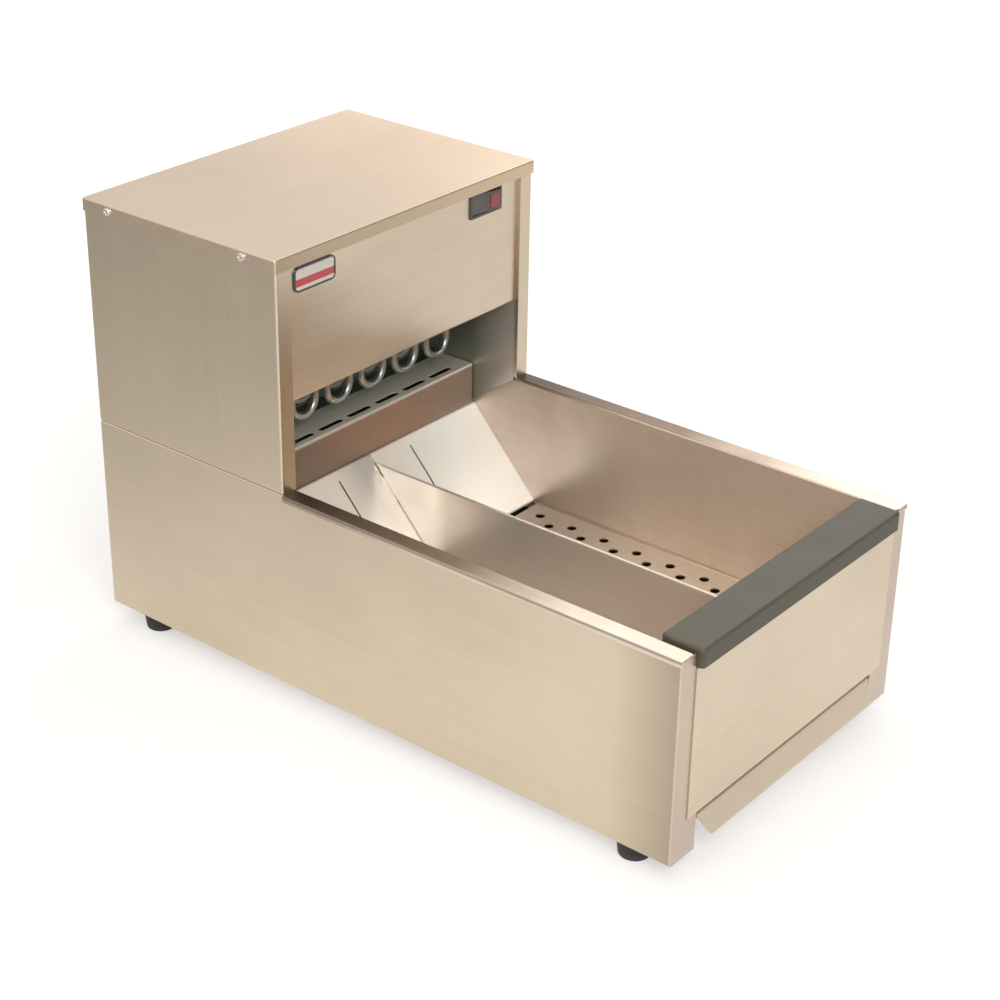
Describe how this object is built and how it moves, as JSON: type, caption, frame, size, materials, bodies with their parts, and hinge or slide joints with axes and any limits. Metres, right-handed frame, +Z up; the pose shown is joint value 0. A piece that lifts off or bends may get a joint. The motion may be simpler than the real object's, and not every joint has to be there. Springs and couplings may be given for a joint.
{
  "type": "chip warmer",
  "caption": "Counter-top warmer for fried food: an open bin with a lift-out divider and crumb tray in front, and a tall head behind that blows heated air over it.",
  "frame": {"origin": "on the counter, in the middle of the whole object's box", "axes": "+X to the right seen from the front, +Y from the front to the back, +Z up"},
  "size_m": [0.376, 0.715, 0.4628],
  "materials": {
    "body_steel": "satin stainless, faint wiping marks",
    "lid_steel": "satin stainless",
    "bar_polymer": "black polymer board, machined edges",
    "bin_steel": "satin stainless, oily marks",
    "divider_steel": "satin stainless",
    "chute_steel": "satin stainless, heat-tinted",
    "tray_steel": "satin stainless",
    "runner_aluminium": "mill finish",
    "inner_zinc": "zinc-coated sheet, dull",
    "wool": "mineral wool blanket",
    "heater_sheath": "oxidised tube sheath",
    "ceramic": "glazed ceramic",
    "fan_black": "moulded black",
    "motor_steel": "stacked laminations",
    "switch_black": "moulded black, slight gloss",
    "lens_red": "tinted clear plastic",
    "badge_enamel": "printed plate, bare of words",
    "inlet_black": "moulded black",
    "pin_brass": "nickel-plated",
    "block_pale": "moulded",
    "thermostat_metal": "drawn cup",
    "wire_sleeve": "woven sleeve",
    "screw_steel": "zinc-plated",
    "foot_rubber": "moulded black"
  },
  "bodies": {
    "body": {"base_side_left": "body_steel", "base_side_right": "body_steel", "base_front_panel": "body_steel", "base_back_panel": "body_steel", "head_side_left": "body_steel", "head_side_right": "body_steel", "head_front_panel": "body_steel", "head_back_panel": "body_steel", "lid": "lid_steel", "front_bar": "bar_polymer", "bin_wall_left": "bin_steel", "bin_wall_right": "bin_steel", "bin_wall_front": "bin_steel", "divider_clips": "bin_steel", "chute": "chute_steel", "duct_wall": "chute_steel", "tray_runner_left": "runner_aluminium", "tray_runner_right": "runner_aluminium", "bottom_pan": "inner_zinc", "head_cheek_left": "inner_zinc", "head_cheek_right": "inner_zinc", "duct_back_wall": "inner_zinc", "front_baffle": "inner_zinc", "fan_plate": "inner_zinc", "deck": "inner_zinc", "insulation_left": "wool", "insulation_right": "wool", "heater_front": "heater_sheath", "heater_rear": "heater_sheath", "heater_bushes": "ceramic", "fan_frame_left": "fan_black", "fan_frame_right": "fan_black", "fan_motor_left": "motor_steel", "fan_motor_right": "motor_steel", "switch_body": "switch_black", "badge_plate": "badge_enamel", "power_inlet": "inlet_black", "inlet_pins": "pin_brass", "terminal_block": "block_pale", "control_thermostat": "thermostat_metal", "limit_thermostat": "thermostat_metal", "supply_harness": "wire_sleeve", "switch_harness": "wire_sleeve", "bar_screws": "screw_steel", "lid_screws": "screw_steel", "back_screws": "screw_steel", "fan_screws": "screw_steel", "foot_screws": "screw_steel", "foot_front_left": "foot_rubber", "foot_front_right": "foot_rubber", "foot_rear_left": "foot_rubber", "foot_rear_right": "foot_rubber"},
    "divider": {"divider": "divider_steel"},
    "bin_floor": {"bin_floor": "bin_steel"},
    "crumb_tray": {"crumb_tray": "tray_steel"},
    "switch_rocker": {"switch_rocker": "switch_black", "switch_lens": "lens_red"},
    "fan_rotor_left": {"fan_rotor_left": "fan_black"},
    "fan_rotor_right": {"fan_rotor_right": "fan_black"}
  },
  "joints": [
    {"name": "crumb_tray_slide", "type": "slide", "parent": "body", "child": "crumb_tray", "axis": [0, -1, 0], "range_m": [0, 0.36]},
    {"name": "bin_floor_lift", "type": "slide", "parent": "body", "child": "bin_floor", "axis": [0, 0, 1], "range_m": [0, 0.056]},
    {"name": "divider_lift", "type": "slide", "parent": "bin_floor", "child": "divider", "axis": [0, 0, 1], "range_m": [0, 0.078]},
    {"name": "switch_tilt", "type": "hinge", "parent": "body", "child": "switch_rocker", "pos_m": [0.1147, 0.11395, 0.4365], "axis": [0, 0, 1], "range_deg": [0, 20]},
    {"name": "fan_spin_left", "type": "hinge", "parent": "body", "child": "fan_rotor_left", "pos_m": [-0.075, 0.22695, 0.31225], "axis": [0, 1, 0], "continuous": true},
    {"name": "fan_spin_right", "type": "hinge", "parent": "body", "child": "fan_rotor_right", "pos_m": [0.075, 0.22695, 0.31225], "axis": [0, 1, 0], "continuous": true}
  ]
}
